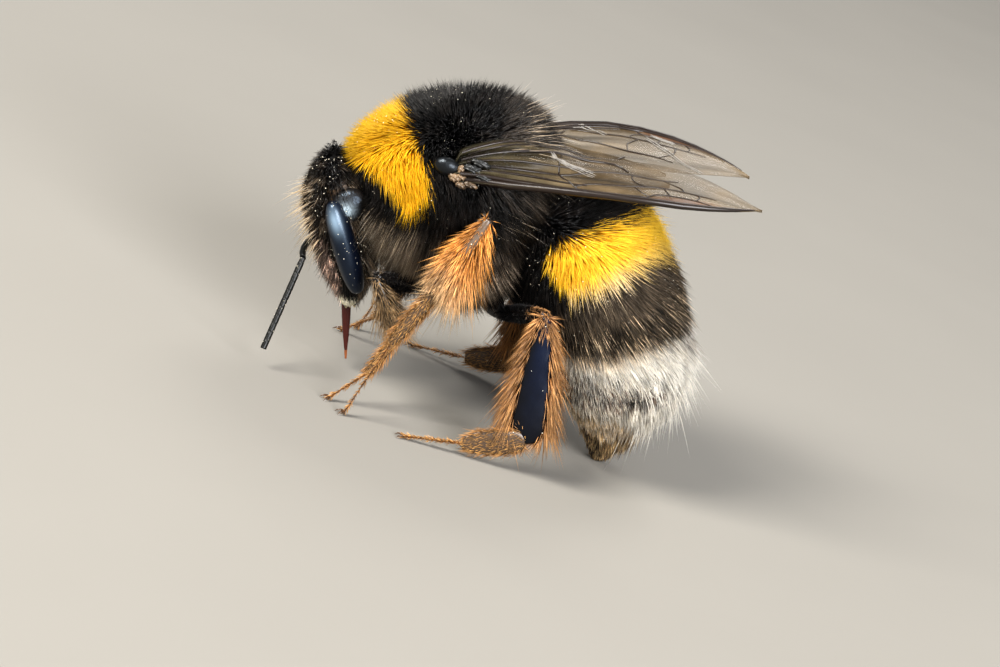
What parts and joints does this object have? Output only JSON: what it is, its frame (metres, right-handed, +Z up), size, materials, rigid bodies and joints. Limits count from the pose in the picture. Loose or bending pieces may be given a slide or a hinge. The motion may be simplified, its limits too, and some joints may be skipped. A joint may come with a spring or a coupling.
{
  "type": "bumblebee",
  "caption": "Life-size furry bumblebee worker with folded smoky wings, curled abdomen and a golden collar and belt, standing still on its feet and tail tip.",
  "frame": {"origin": "on the floor, at the middle of the bounding box's underside", "axes": "+Z up, the head towards -X, the tail towards +X, the bee's left side towards -Y"},
  "size_m": [0.0168, 0.0112, 0.0125],
  "materials": {
    "coat_black": "matt black hair",
    "coat_yellow": "golden yellow hair",
    "coat_white": "off-white hair",
    "coat_rust": "rusty brown hair",
    "shell": "glossy black chitin",
    "eye": "glossy blue-black facets",
    "wing": "smoky translucent membrane with dark veins",
    "tongue": "glossy red-brown"
  },
  "bodies": {
    "root": {"head": "coat_black", "proboscis": "tongue", "pronotum": "coat_yellow", "mesothorax": "coat_black", "scutellum": "coat_black", "abdomen_segment_1": "coat_black", "abdomen_segment_2": "coat_yellow", "abdomen_segment_3": "coat_black", "abdomen_segment_4": "coat_white", "abdomen_segment_5": "coat_white", "abdomen_segment_6": "coat_rust", "eye_left": "eye", "antenna_scape_left": "shell", "antenna_flagellum_left": "shell", "mandible_left": "shell", "tegula_left": "shell", "forewing_left": "wing", "hindwing_left": "wing", "fore_coxa_left": "shell", "fore_femur_left": "shell", "fore_tibia_left": "coat_rust", "fore_basitarsus_left": "coat_rust", "fore_tarsus_left": "coat_rust", "middle_coxa_left": "shell", "middle_femur_left": "shell", "middle_tibia_left": "coat_rust", "middle_basitarsus_left": "coat_rust", "middle_tarsus_left": "coat_rust", "hind_coxa_left": "shell", "hind_femur_left": "shell", "hind_tibia_left": "coat_rust", "hind_basitarsus_left": "coat_rust", "hind_tarsus_left": "coat_rust", "eye_right": "eye", "antenna_scape_right": "shell", "antenna_flagellum_right": "shell", "mandible_right": "shell", "tegula_right": "shell", "forewing_right": "wing", "hindwing_right": "wing", "fore_coxa_right": "shell", "fore_femur_right": "shell", "fore_tibia_right": "coat_rust", "fore_basitarsus_right": "coat_rust", "fore_tarsus_right": "coat_rust", "middle_coxa_right": "shell", "middle_femur_right": "shell", "middle_tibia_right": "coat_rust", "middle_basitarsus_right": "coat_rust", "middle_tarsus_right": "coat_rust", "hind_coxa_right": "shell", "hind_femur_right": "shell", "hind_tibia_right": "coat_rust", "hind_basitarsus_right": "coat_rust", "hind_tarsus_right": "coat_rust"}
  },
  "joints": []
}
